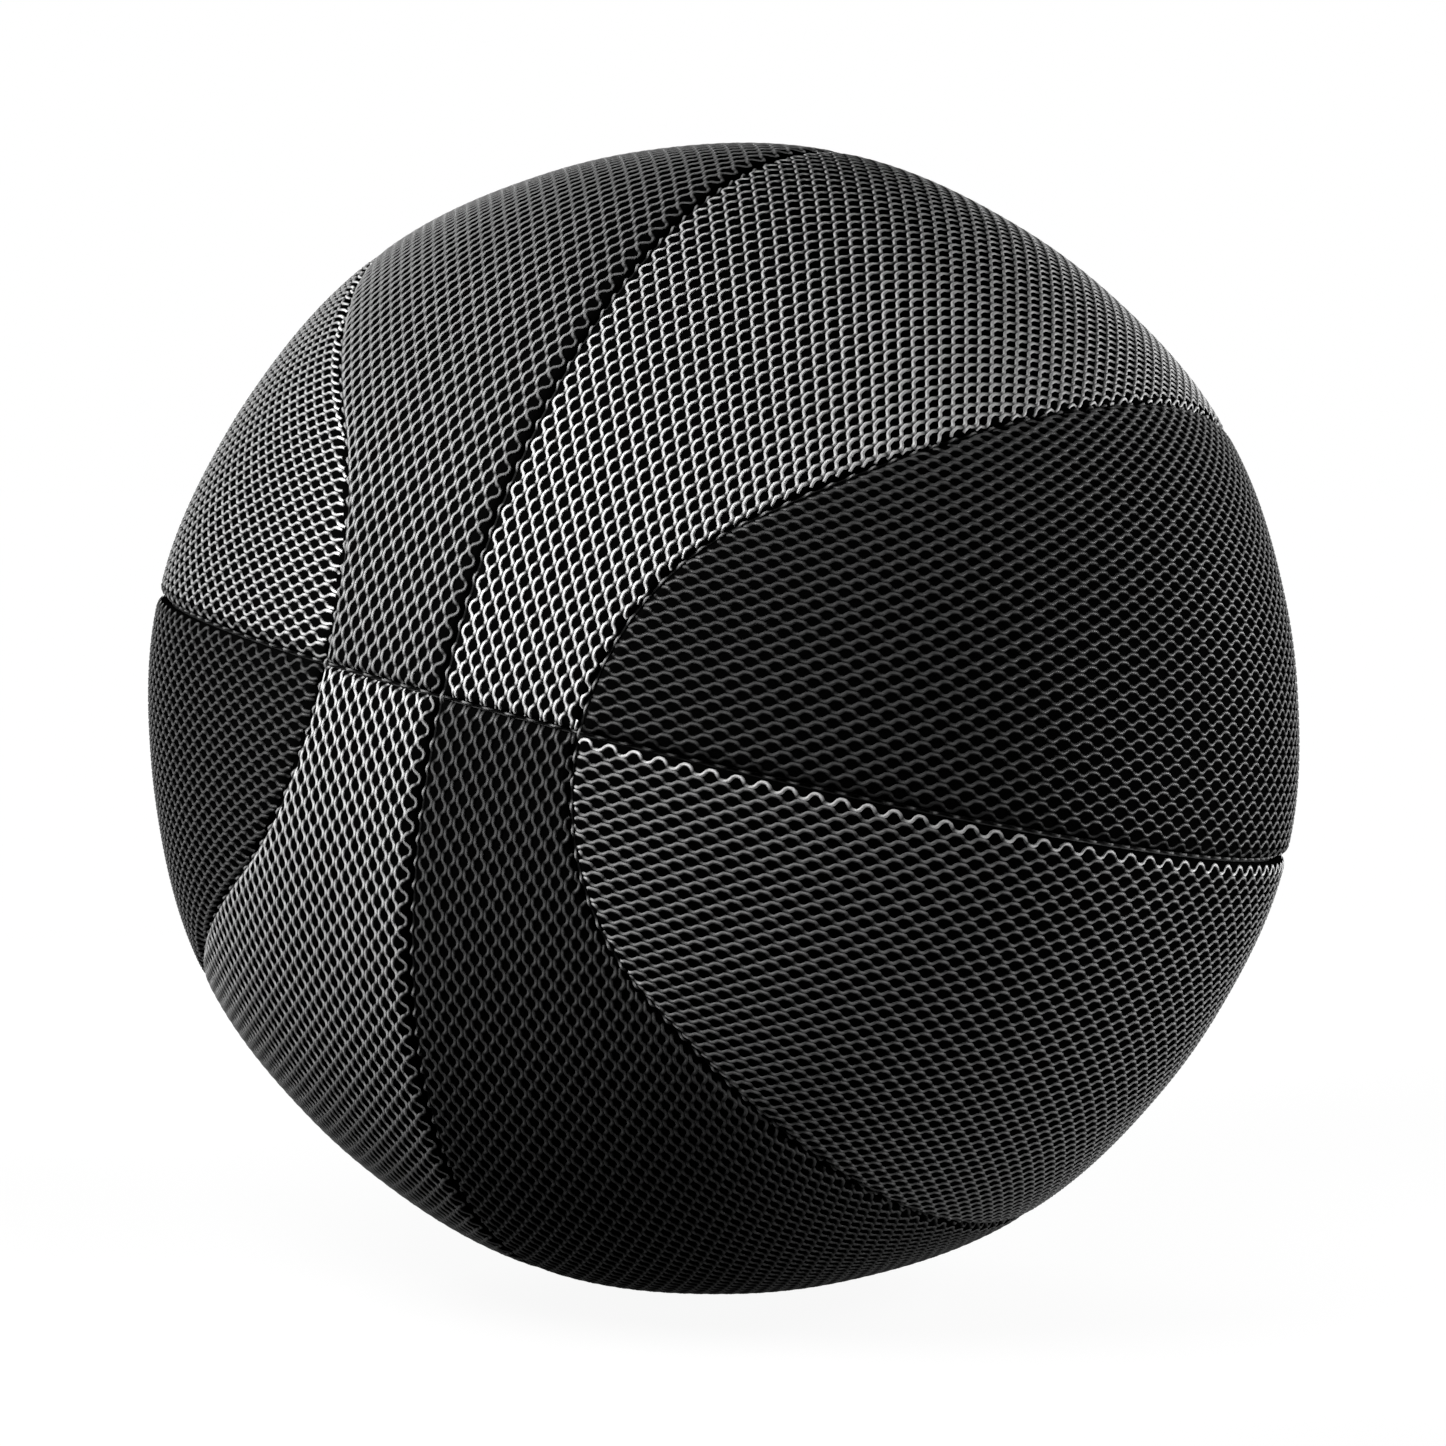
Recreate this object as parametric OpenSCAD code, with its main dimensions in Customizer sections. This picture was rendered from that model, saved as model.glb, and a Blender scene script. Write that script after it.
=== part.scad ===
// Full-size basketball with a sewn cover of eight knitted mesh panels, at rest on a flat surface.
// The ball is drawn about its own centre with the crossing of its two round seams facing -Y,
// then leaned and tipped to the attitude it rests in.

/* [Ball] */
// Outside diameter of the cover
ball_d = 240; // [200:1:260]
// Distance along the cover from the meridian seam to an ear seam, at the crossing
nose_gap = 28.6; // [20:0.1:40]
// Lean about the front-to-back axis, in degrees
rest_lean = 12; // [-20:0.5:20]
// Tip about the side-to-side axis, in degrees
rest_tip = -6; // [-15:0.5:15]
// Depth of the flat that the cover's weight presses into it
rest_flat = 0.5; // [0.2:0.1:1]

/* [Layers] */
// Thickness of the knitted mesh
mesh_t = 2; // [1.6:0.1:4]
// Thickness of the backing cloth under the mesh
backing_t = 0.6; // [0.3:0.1:1.5]
// Thickness of the moulded rubber carcass
carcass_t = 2.2; // [1:0.1:5]
// Thickness of the thread winding over the bladder
winding_t = 0.8; // [0.4:0.1:2]
// Thickness of the bladder wall
bladder_t = 1.2; // [0.6:0.1:3]
// Clearance between one layer and the next
layer_gap = 0.1; // [0.05:0.05:0.3]

/* [Seams] */
// Diameter of the sewing thread
thread_d = 0.6; // [0.4:0.1:1]
// Clearance between the thread and a panel's edge
thread_clear = 0.1; // [0.05:0.05:0.3]
// Width of the channel along a seam, at the surface
channel_w = 4.4; // [3:0.1:8]
// Depth of the channel along a seam
channel_depth = 1.2; // [0.6:0.1:1.4]

/* [Valve] */
// Angle of the valve behind the top of the ball, in degrees
valve_back = 22; // [10:1:40]
// Angle of the valve from the meridian seam, in degrees
valve_side = 21; // [14:1:26]
// Diameter of the valve's stem
stem_d = 8; // [6:0.5:12]
// Depth of the stem's end below the cover
stem_recess = 0.6; // [0.2:0.1:1]
// Diameter of the valve's flange inside the bladder
flange_d = 18; // [14:1:26]
// Thickness of the valve's flange
flange_t = 1.4; // [1:0.1:3]
// Diameter of the self-sealing plug in the stem
plug_d = 4; // [3:0.1:5]
// Diameter of the needle hole in the plug
needle_d = 2; // [1.4:0.1:2.6]
// Depth of the needle hole
needle_depth = 5; // [3:0.5:6]
// Outside diameter of the eyelet's rim
eyelet_d = 14; // [12:0.5:20]
// Thickness of the eyelet's rim
eyelet_t = 0.6; // [0.4:0.1:1]
// Wall of the eyelet's barrel
eyelet_wall = 0.9; // [0.6:0.1:1.5]
// Clearance around the valve's pieces
valve_clear = 0.1; // [0.05:0.05:0.3]

/* [Hidden] */
$fn = 96;

// Radii of the layers, from the outside in
ball_r = ball_d / 2;
mesh_in = ball_r - mesh_t;
backing_out = mesh_in - layer_gap;
backing_in = backing_out - backing_t;
carcass_out = backing_in - layer_gap;
carcass_in = carcass_out - carcass_t;
winding_out = carcass_in - layer_gap;
winding_in = winding_out - winding_t;
bladder_out = winding_in - layer_gap;
bladder_in = bladder_out - bladder_t;

// Each panel stops this far from the middle of a seam
seam_half = thread_d / 2 + thread_clear;

// A seam channel is part of a round groove whose middle lies just above the cover
channel_r = (pow(channel_w / 2, 2) + pow(channel_depth, 2)) / (2 * channel_depth);
channel_mid = ball_r + channel_r - channel_depth;

// The threads lie on the channel's bottom, and the equator's passes under the others
thread_r = ball_r - channel_depth - thread_d / 2;
under_r = thread_r - thread_d - thread_clear;

// An ear seam follows the two planes at 45 degrees to the equator, joined front and back by a
// round nose: a circle about nose_axis from the front, nose_round in angular radius, that both
// planes touch at nose_turn round that circle and at nose_side from the front
nose_deg = nose_gap / ball_r * 180 / PI;
nose_axis = atan(sin(nose_deg) / (cos(nose_deg) - sin(45)));
nose_round = nose_axis - nose_deg;
nose_turn = atan(1 / cos(nose_axis));
nose_side = atan(tan(nose_axis) / 2);
long_arc = acos(tan(nose_round));

// The noses are drawn this many degrees small, so that they cross their neighbours cleanly
nose_ease = 0.03;
// A knot, or the end of a channel, is this much thicker than what it joins
knot_ease = 1.06;

// Longer than anything drawn, for cutting
reach = ball_d;

eyelet_in = stem_d / 2 + valve_clear;
eyelet_barrel = eyelet_in + eyelet_wall;
stem_end = ball_r - stem_recess;
flange_top = sqrt(pow(bladder_in - valve_clear, 2) - pow(flange_d / 2, 2));
flange_foot = flange_top - flange_t;
plug_foot = flange_foot + valve_clear;

mesh_light = [0.30, 0.30, 0.31];
mesh_dark = [0.16, 0.16, 0.17];
backing_black = [0.04, 0.04, 0.045];
thread_grey = [0.42, 0.42, 0.43];
rubber_brown = [0.45, 0.26, 0.16];
winding_white = [0.82, 0.80, 0.74];
rubber_black = [0.10, 0.10, 0.10];

// Stands the ball on its flat, in the attitude it rests in
module at_rest() {
    translate([0, 0, ball_r - rest_flat])
        rotate([rest_tip, 0, 0])
            rotate([0, rest_lean, 0])
                children();
}

// Ball whose poles and own seam line fall in the gaps between panels
module round_ball(r) {
    rotate([90, 0, 0])
        sphere(r);
}

module shell(r_out, r_in) {
    difference() {
        round_ball(r_out);
        round_ball(r_in);
    }
}

// Turns +Z to the middle of the front nose of the right ear, and +X towards the meridian seam
module at_nose() {
    rotate([0, 0, 180 + nose_axis])
        rotate([-90, 0, 0])
            children();
}

// The right ear's side of its seam, gap short of the seam, between its two noses
module ear_middle(gap) {
    far = reach - sqrt(2) * gap;
    side = reach * tan(nose_side);
    intersection() {
        rotate([90, 0, 0])
            linear_extrude(2 * reach, center = true)
                polygon([[sqrt(2) * gap, 0], [reach, -far], [reach, far]]);
        linear_extrude(2 * reach, center = true)
            translate([gap / sqrt(2), 0])
                polygon([[0, 0], [side, -reach], [reach, -reach], [reach, reach], [side, reach]]);
    }
}

// The right ear's side of its seam at the front nose
module ear_nose(gap) {
    at_nose()
        translate([0, 0, gap / sin(nose_round)])
            cylinder(h = reach, r1 = 0, r2 = reach * tan(nose_round - nose_ease));
}

module ear_zone(gap) {
    ear_middle(gap);
    ear_nose(gap);
    mirror([0, 1, 0])
        ear_nose(gap);
}

// Everything above the equator seam, gap short of it
module upper_half(gap) {
    translate([-reach, -reach, gap])
        cube([2 * reach, 2 * reach, reach]);
}

// Everything right of the meridian seam, gap short of it
module right_half(gap) {
    translate([gap, -reach, -reach])
        cube([reach, 2 * reach, 2 * reach]);
}

// Upper right ear of one layer
module ear(r_out, r_in) {
    intersection() {
        shell(r_out, r_in);
        upper_half(seam_half);
        ear_zone(seam_half);
    }
}

// Upper right strip of one layer
module strip(r_out, r_in) {
    difference() {
        intersection() {
            shell(r_out, r_in);
            upper_half(seam_half);
            right_half(seam_half);
        }
        ear_zone(-seam_half);
    }
}

// Puts an upper right panel on the side and in the half it belongs to
module placed(right, upper) {
    mirror([right ? 0 : 1, 0, 0])
        mirror([0, 0, upper ? 0 : 1])
            children();
}

// Round ring of the meridian or equator seam
module seam_ring(r, d) {
    rotate_extrude()
        translate([r, 0])
            circle(d = d);
}

module meridian_ring(r, d) {
    rotate([0, 90, 0])
        seam_ring(r, d);
}

// Closed ring of the right ear's seam: two long arcs and two noses, joined by four knots
module ear_ring(r, d) {
    for (side = [-45, 45])
        rotate([0, side, 0]) {
            rotate([0, 0, -long_arc])
                rotate_extrude(angle = 2 * long_arc)
                    translate([r, 0])
                        circle(d = d);
            for (end = [-1, 1])
                rotate([0, 0, end * long_arc])
                    translate([r, 0, 0])
                        sphere(d = d * knot_ease);
        }
    for (back = [0, 1])
        mirror([0, back, 0])
            at_nose()
                translate([0, 0, r * cos(nose_round)])
                    rotate([0, 0, -nose_turn])
                        rotate_extrude(angle = 2 * nose_turn)
                            translate([r * sin(nose_round), 0])
                                circle(d = d);
}

// Panels of the cover, with the channels of the seams beside them
module strip_panel() {
    difference() {
        strip(ball_r, mesh_in);
        seam_ring(channel_mid, 2 * channel_r);
        meridian_ring(channel_mid, 2 * channel_r);
        ear_ring(channel_mid, 2 * channel_r);
    }
}

module ear_panel() {
    difference() {
        ear(ball_r, mesh_in);
        seam_ring(channel_mid, 2 * channel_r);
        ear_ring(channel_mid, 2 * channel_r);
    }
}

module at_valve() {
    rotate([-valve_back, 0, 0])
        rotate([0, -valve_side, 0])
            children();
}

// Hole for the valve, through every layer that it crosses
module valve_hole(r) {
    at_valve()
        cylinder(h = reach, r = r);
}

// Seat of the eyelet in the cover
module eyelet_seat() {
    valve_hole(eyelet_barrel + valve_clear);
    difference() {
        valve_hole(eyelet_d / 2 + valve_clear);
        round_ball(ball_r - eyelet_t - valve_clear);
    }
}

// Ground under the ball, which flattens it a little
module ground() {
    translate([-reach, -reach, -reach])
        cube([2 * reach, 2 * reach, reach]);
}

module strip_upper_right() {
    color(mesh_light)
        at_rest()
            placed(true, true)
                strip_panel();
}

module strip_upper_left() {
    color(mesh_dark)
        at_rest()
            difference() {
                placed(false, true)
                    strip_panel();
                eyelet_seat();
            }
}

module strip_lower_right() {
    color(mesh_dark)
        difference() {
            at_rest()
                placed(true, false)
                    strip_panel();
            ground();
        }
}

module strip_lower_left() {
    color(mesh_light)
        at_rest()
            placed(false, false)
                strip_panel();
}

module ear_upper_right() {
    color(mesh_dark)
        at_rest()
            placed(true, true)
                ear_panel();
}

module ear_upper_left() {
    color(mesh_light)
        at_rest()
            placed(false, true)
                ear_panel();
}

module ear_lower_right() {
    color(mesh_light)
        at_rest()
            placed(true, false)
                ear_panel();
}

module ear_lower_left() {
    color(mesh_dark)
        at_rest()
            placed(false, false)
                ear_panel();
}

module backing_strip(right, upper) {
    color(backing_black)
        at_rest()
            placed(right, upper)
                strip(backing_out, backing_in);
}

module backing_ear(right, upper) {
    color(backing_black)
        at_rest()
            placed(right, upper)
                ear(backing_out, backing_in);
}

module backing_strip_upper_right() {
    backing_strip(true, true);
}

module backing_strip_upper_left() {
    color(backing_black)
        difference() {
            backing_strip(false, true);
            at_rest()
                valve_hole(eyelet_in);
        }
}

module backing_strip_lower_right() {
    backing_strip(true, false);
}

module backing_strip_lower_left() {
    backing_strip(false, false);
}

module backing_ear_upper_right() {
    backing_ear(true, true);
}

module backing_ear_upper_left() {
    backing_ear(false, true);
}

module backing_ear_lower_right() {
    backing_ear(true, false);
}

module backing_ear_lower_left() {
    backing_ear(false, false);
}

module thread_meridian() {
    color(thread_grey)
        at_rest()
            meridian_ring(thread_r, thread_d);
}

module thread_equator() {
    color(thread_grey)
        at_rest()
            seam_ring(under_r, thread_d);
}

module thread_ear_right() {
    color(thread_grey)
        at_rest()
            ear_ring(thread_r, thread_d);
}

module thread_ear_left() {
    color(thread_grey)
        at_rest()
            mirror([1, 0, 0])
                ear_ring(thread_r, thread_d);
}

// Closed round layer with the hole that the valve's stem passes through
module inner_layer(r_out, r_in) {
    at_rest()
        difference() {
            shell(r_out, r_in);
            valve_hole(eyelet_in);
        }
}

module carcass() {
    color(rubber_brown)
        inner_layer(carcass_out, carcass_in);
}

module winding() {
    color(winding_white)
        inner_layer(winding_out, winding_in);
}

module bladder() {
    color(rubber_black)
        inner_layer(bladder_out, bladder_in);
}

// Flange against the inside of the bladder, and a bored stem up to the cover
module valve_body() {
    color(rubber_black)
        at_rest()
            at_valve()
                difference() {
                    translate([0, 0, flange_foot]) {
                        cylinder(h = flange_t, d = flange_d);
                        cylinder(h = stem_end - flange_foot, d = stem_d);
                    }
                    cylinder(h = reach, d = plug_d + 2 * valve_clear);
                }
}

// Soft plug in the stem with a blind hole for the needle
module valve_plug() {
    color(rubber_brown)
        at_rest()
            at_valve()
                difference() {
                    translate([0, 0, plug_foot])
                        cylinder(h = stem_end - plug_foot, d = plug_d);
                    translate([0, 0, stem_end - needle_depth])
                        cylinder(h = reach, d = needle_d);
                }
}

// Ring that keeps the mesh open around the valve: a barrel and a flush rim
module valve_eyelet() {
    color(rubber_black)
        at_rest()
            at_valve()
                difference() {
                    intersection() {
                        union() {
                            cylinder(h = reach, r = eyelet_barrel);
                            difference() {
                                cylinder(h = reach, d = eyelet_d);
                                round_ball(ball_r - eyelet_t);
                            }
                        }
                        shell(ball_r, mesh_in);
                    }
                    cylinder(h = reach, r = eyelet_in);
                }
}

strip_upper_right();
strip_upper_left();
strip_lower_right();
strip_lower_left();
ear_upper_right();
ear_upper_left();
ear_lower_right();
ear_lower_left();
backing_strip_upper_right();
backing_strip_upper_left();
backing_strip_lower_right();
backing_strip_lower_left();
backing_ear_upper_right();
backing_ear_upper_left();
backing_ear_lower_right();
backing_ear_lower_left();
thread_meridian();
thread_equator();
thread_ear_right();
thread_ear_left();
carcass();
winding();
bladder();
valve_body();
valve_plug();
valve_eyelet();
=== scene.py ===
import math

import bmesh
import bpy
import numpy as np
from mathutils import Matrix, Vector


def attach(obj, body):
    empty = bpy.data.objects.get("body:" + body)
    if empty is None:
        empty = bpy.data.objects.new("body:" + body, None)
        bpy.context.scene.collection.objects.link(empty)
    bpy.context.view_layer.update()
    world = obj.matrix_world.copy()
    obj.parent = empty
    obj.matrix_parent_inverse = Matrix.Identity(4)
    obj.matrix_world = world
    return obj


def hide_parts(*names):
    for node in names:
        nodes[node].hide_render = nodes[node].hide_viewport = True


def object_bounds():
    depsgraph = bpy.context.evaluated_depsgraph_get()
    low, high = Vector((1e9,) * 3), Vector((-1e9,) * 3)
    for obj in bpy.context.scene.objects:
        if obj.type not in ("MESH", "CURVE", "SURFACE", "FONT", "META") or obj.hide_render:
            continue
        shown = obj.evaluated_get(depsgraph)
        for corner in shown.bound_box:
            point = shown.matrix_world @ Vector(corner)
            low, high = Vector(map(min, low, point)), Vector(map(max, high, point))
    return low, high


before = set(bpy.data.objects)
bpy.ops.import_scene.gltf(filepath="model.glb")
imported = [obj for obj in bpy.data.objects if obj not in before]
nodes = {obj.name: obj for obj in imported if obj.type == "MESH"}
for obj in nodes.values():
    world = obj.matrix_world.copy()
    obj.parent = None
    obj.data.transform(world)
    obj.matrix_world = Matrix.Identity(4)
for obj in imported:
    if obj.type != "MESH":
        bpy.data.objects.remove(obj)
cadLow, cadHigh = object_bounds()  # the CAD box, before anything stands in for a node
mm = 0.001
print("frame loaded:", len(nodes), "nodes")

# The ball at rest. Its own frame has the right ear on +X, the front crossing on -Y and +Z up.
ball = {
    "radius": max(cadHigh.x - cadLow.x, cadHigh.y - cadLow.y) / 2,
    "lean": math.radians(12),  # about the front-to-back axis
    "tip": math.radians(-6),  # about the side-to-side axis
    "noseGap": 28.6 * mm,  # from the meridian seam to the tip of an ear, along the equator
    "valveBack": math.radians(22),  # valve's place behind the top
    "valveSide": math.radians(21),  # and left of the meridian seam
}
ballRadius = ball["radius"]
ballMiddle = Vector((0, 0, cadHigh.z - ballRadius))
turned = Matrix.Rotation(ball["tip"], 3, "X") @ Matrix.Rotation(ball["lean"], 3, "Y")
valveAxis = turned @ Matrix.Rotation(-ball["valveBack"], 3, "X") @ Matrix.Rotation(-ball["valveSide"], 3, "Y")
valveAxis = valveAxis @ Vector((0, 0, 1))

# An ear seam follows the two planes at 45 degrees to the equator, joined by a round nose at each end
noseTip = ball["noseGap"] / ballRadius
noseAxis = math.atan(math.sin(noseTip) / (math.cos(noseTip) - math.sin(math.pi / 4)))
noseRound = noseAxis - noseTip
noseSide = math.atan(math.tan(noseAxis) / 2)


def link(obj):
    bpy.context.scene.collection.objects.link(obj)
    return obj


def put(tree, kind, settings=None, inputs=None):
    # one node, with its settings, and its inputs as values or as sockets to link from
    node = tree.nodes.new(kind)
    for key, value in (settings or {}).items():
        setattr(node, key, value)
    for key, value in (inputs or {}).items():
        if isinstance(value, bpy.types.NodeSocket):
            tree.links.new(value, node.inputs[key])
        else:
            node.inputs[key].default_value = value
    return node


def calc(tree, operation, *values):
    return put(tree, "ShaderNodeMath", {"operation": operation}, dict(enumerate(values))).outputs[0]


def vectorCalc(tree, operation, *values):
    node = put(tree, "ShaderNodeVectorMath", {"operation": operation}, dict(enumerate(values)))
    return node.outputs["Value" if operation in {"LENGTH", "DOT_PRODUCT"} else "Vector"]


def scaled(tree, vector, amount):
    node = put(tree, "ShaderNodeVectorMath", {"operation": "SCALE"}, {0: vector, "Scale": amount})
    return node.outputs["Vector"]


def weighted(tree, *pairs):
    # sum of values, each times its weight
    total = 0.0
    for value, weight in pairs:
        total = calc(tree, "MULTIPLY_ADD", value, weight, total)
    return total


def split(tree, vector):
    return put(tree, "ShaderNodeSeparateXYZ", inputs={0: vector}).outputs


def joined(tree, x, y, z=0.0):
    return put(tree, "ShaderNodeCombineXYZ", inputs={0: x, 1: y, 2: z}).outputs[0]


def blend(tree, share, first, second):
    # from one colour to another
    return put(tree, "ShaderNodeMix", {"data_type": "RGBA"}, {0: share, 6: first, 7: second}).outputs[2]


def eased(tree, value, fromLow, fromHigh, toLow, toHigh):
    return put(tree, "ShaderNodeMapRange", {"interpolation_type": "SMOOTHSTEP"}, {
        0: value, 1: fromLow, 2: fromHigh, 3: toLow, 4: toHigh}).outputs[0]


def noise(tree, where, scale, **more):
    return put(tree, "ShaderNodeTexNoise", inputs={"Vector": where, "Scale": scale, **more}).outputs["Fac"]


def here(tree):
    return put(tree, "GeometryNodeInputPosition").outputs[0]


def store(tree, geometry, label, value, kind="FLOAT", domain="POINT"):
    return put(tree, "GeometryNodeStoreNamedAttribute", {"data_type": kind, "domain": domain}, {
        "Geometry": geometry, "Name": label, "Value": value}).outputs[0]


def recall(tree, label, kind="FLOAT"):
    named = put(tree, "GeometryNodeInputNamedAttribute", {"data_type": kind}, {"Name": label})
    return named.outputs["Attribute"]


def newTree(name, inputs, outputs, kind="GeometryNodeTree"):
    tree = bpy.data.node_groups.new(name, kind)
    for label, socketType, value in inputs:
        socket = tree.interface.new_socket(label, in_out="INPUT", socket_type=socketType)
        if value is not None:
            socket.default_value = value
    for label, socketType in outputs:
        tree.interface.new_socket(label, in_out="OUTPUT", socket_type=socketType)
    return tree, tree.nodes.new("NodeGroupInput").outputs, tree.nodes.new("NodeGroupOutput")


def closeTree(tree, done, finish, out):
    # the end of a Geometry Nodes tree: smooth, realized and with its material
    for kind, inputs in (("GeometryNodeSetShadeSmooth", {"Shade Smooth": True}),
                         ("GeometryNodeRealizeInstances", {}),
                         ("GeometryNodeSetMaterial", {"Material": finish})):
        done = put(tree, kind, inputs={"Geometry": done, **inputs}).outputs[0]
    tree.links.new(done, out.inputs[0])
    return tree


def grow(obj, tree, values, name):
    # run a Geometry Nodes tree on an object, and keep the result as a plain mesh object,
    # without the attributes that only the tree works with, whose names start with net
    modifier = obj.modifiers.new(tree.name, "NODES")
    modifier.node_group = tree
    for item in tree.interface.items_tree:
        if item.in_out == "INPUT" and item.name in values:
            modifier[item.identifier] = values[item.name]
    evaluated = obj.evaluated_get(bpy.context.evaluated_depsgraph_get())
    mesh = bpy.data.meshes.new_from_object(evaluated)
    obj.modifiers.remove(modifier)
    for label in [item.name for item in mesh.attributes if item.name.startswith("net")]:
        mesh.attributes.remove(mesh.attributes[label])
    mesh.name = name
    return link(bpy.data.objects.new(name, mesh))


def grey(value, warmth=0.0):
    return (value * (1 + warmth), value, value * (1 - warmth), 1)


# Shading effects that several finishes share
fibre = {
    "plies": 3,
    "fuzzScale": 5200,
    "patchScale": 55,
    "twistHeight": 0.6,
    "fuzzHeight": 0.5,
    "twistShade": 0.35,
    "fuzzShade": 0.45,
    "patchShade": 0.4,
    "knotTone": 0.004,
    "roughSpread": 0.18,
    "bumpDepth": 0.05 * mm,
    "bumpStrength": 0.6,
}
rubber = {
    "cloudScale": 38,
    "dustFrom": 0.42,  # of the clouds, where dust starts and where there is most of it
    "dustTo": 0.78,
    "mostDust": 0.55,
    "rough": 0.4,
    "roughSpread": 0.3,
    "bumpDepth": 0.04 * mm,
    "bumpStrength": 0.5,
}


def makeFibreGroup():
    # twisted filaments along a thread, from its own strand map: x along it in mm, y round it
    tree, given, out = newTree("fibreTwist", [
        ("Light", "NodeSocketColor", (0.5, 0.5, 0.5, 1)),
        ("Dark", "NodeSocketColor", (0.3, 0.3, 0.3, 1)),
        ("Pitch", "NodeSocketFloat", 0.55),
        ("Shade Strength", "NodeSocketFloat", 0.97),
        ("Roughness", "NodeSocketFloat", 0.5),
        ("Gloss", "NodeSocketFloat", 0.3),
    ], [("Color", "NodeSocketColor"), ("Roughness", "NodeSocketFloat"), ("Height", "NodeSocketFloat"),
        ("Gloss", "NodeSocketFloat")], "ShaderNodeTree")
    strand = split(tree, put(tree, "ShaderNodeUVMap", {"uv_map": "strand"}).outputs["UV"])
    turns = calc(tree, "DIVIDE", strand[0], given["Pitch"])
    turns = calc(tree, "MULTIPLY_ADD", strand[1], fibre["plies"], turns)
    twist = calc(tree, "SINE", calc(tree, "MULTIPLY", turns, 2 * math.pi))
    twist = calc(tree, "MULTIPLY_ADD", twist, 0.5, 0.5)
    where = put(tree, "ShaderNodeTexCoord").outputs["Object"]
    fuzz = noise(tree, where, fibre["fuzzScale"], Detail=2)
    patch = noise(tree, where, fibre["patchScale"], Detail=3)
    height = weighted(tree, (twist, fibre["twistHeight"]), (fuzz, fibre["fuzzHeight"]))
    shade = weighted(tree, (twist, fibre["twistShade"]), (fuzz, fibre["fuzzShade"]),
                     (patch, fibre["patchShade"]))
    tone = blend(tree, shade, given["Dark"], given["Light"])
    # painted highlight: the first wale and the cut ends beside a seam are made lighter, as if they caught the
    # light
    seamHighlight = put(tree, "ShaderNodeAttribute", {"attribute_name": "seamHighlight"}).outputs["Fac"]
    tone = scaled(tree, tone, calc(tree, "ADD", seamHighlight, 1.0))
    # painted shade: the thread is darker and less glossy where the mask puts it in shade
    knot = put(tree, "ShaderNodeAttribute", {"attribute_name": "knot"}).outputs["Fac"]
    shadeShare = calc(tree, "MULTIPLY", knot, given["Shade Strength"])
    gloss = calc(tree, "MULTIPLY", given["Gloss"], calc(tree, "SUBTRACT", 1.0, shadeShare))
    rough = calc(tree, "MULTIPLY_ADD", fuzz, fibre["roughSpread"], given["Roughness"])
    tree.links.new(blend(tree, shadeShare, tone, grey(fibre["knotTone"])), out.inputs["Color"])
    tree.links.new(gloss, out.inputs["Gloss"])
    tree.links.new(rough, out.inputs["Roughness"])
    tree.links.new(height, out.inputs["Height"])
    return tree


def makeRubberGroup():
    # moulded rubber: a fine skin, cloudy tone and a dusting of mould release
    tree, given, out = newTree("rubberSkin", [
        ("Tone", "NodeSocketColor", (0.03, 0.03, 0.03, 1)),
        ("Dust", "NodeSocketColor", (0.1, 0.1, 0.1, 1)),
        ("Grain", "NodeSocketFloat", 900.0),
    ], [("Color", "NodeSocketColor"), ("Roughness", "NodeSocketFloat"), ("Height", "NodeSocketFloat")],
        "ShaderNodeTree")
    where = put(tree, "ShaderNodeTexCoord").outputs["Object"]
    grain = noise(tree, where, given["Grain"], Detail=4)
    cloud = noise(tree, where, rubber["cloudScale"], Detail=5, Roughness=0.6)
    dusty = put(tree, "ShaderNodeMapRange", inputs={
        0: cloud, 1: rubber["dustFrom"], 2: rubber["dustTo"], 3: 0.0, 4: rubber["mostDust"]}).outputs[0]
    rough = calc(tree, "MULTIPLY_ADD", cloud, rubber["roughSpread"], rubber["rough"])
    tree.links.new(blend(tree, dusty, given["Tone"], given["Dust"]), out.inputs["Color"])
    tree.links.new(rough, out.inputs["Roughness"])
    tree.links.new(grain, out.inputs["Height"])
    return tree


fibreTwist = makeFibreGroup()
rubberSkin = makeRubberGroup()


def startMaterial(name, fixed):
    # a new material whose Principled shader has these fixed values on its own sockets
    material = bpy.data.materials.new(name)
    material.use_nodes = True
    shader = material.node_tree.nodes["Principled BSDF"]
    for key, value in fixed.items():
        shader.inputs[key].default_value = value
    return material, material.node_tree, shader


def bumpInto(tree, shader, height, look):
    bump = put(tree, "ShaderNodeBump", inputs={
        "Height": height, "Distance": look["bumpDepth"], "Strength": look["bumpStrength"]})
    tree.links.new(bump.outputs["Normal"], shader.inputs["Normal"])


def groupInto(tree, shader, group, look):
    # a group's outputs into colour, roughness and bump
    tree.links.new(group.outputs["Color"], shader.inputs["Base Color"])
    tree.links.new(group.outputs["Roughness"], shader.inputs["Roughness"])
    bumpInto(tree, shader, group.outputs["Height"], look)


def weaveInto(tree, shader, height, low, high, look):
    # laid threads: their height into colour, roughness and bump
    tree.links.new(blend(tree, height, low, high), shader.inputs["Base Color"])
    rough = calc(tree, "MULTIPLY_ADD", height, look["roughSpread"], look["rough"])
    tree.links.new(rough, shader.inputs["Roughness"])
    bumpInto(tree, shader, height, look)


def fibreMaterial(name, look, tone=1.0):
    # tone scales the thread's colours; for the mesh panels it is painted light and shade
    material, tree, shader = startMaterial(name, {})
    group = put(tree, "ShaderNodeGroup", {"node_tree": fibreTwist}, {
        "Light": grey(look["light"] * tone), "Dark": grey(look["dark"] * tone),
        "Pitch": look["pitch"], "Roughness": look["rough"], "Gloss": look["gloss"]})
    tree.links.new(group.outputs["Gloss"], shader.inputs["Specular IOR Level"])
    groupInto(tree, shader, group, fibre)
    return material


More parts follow.
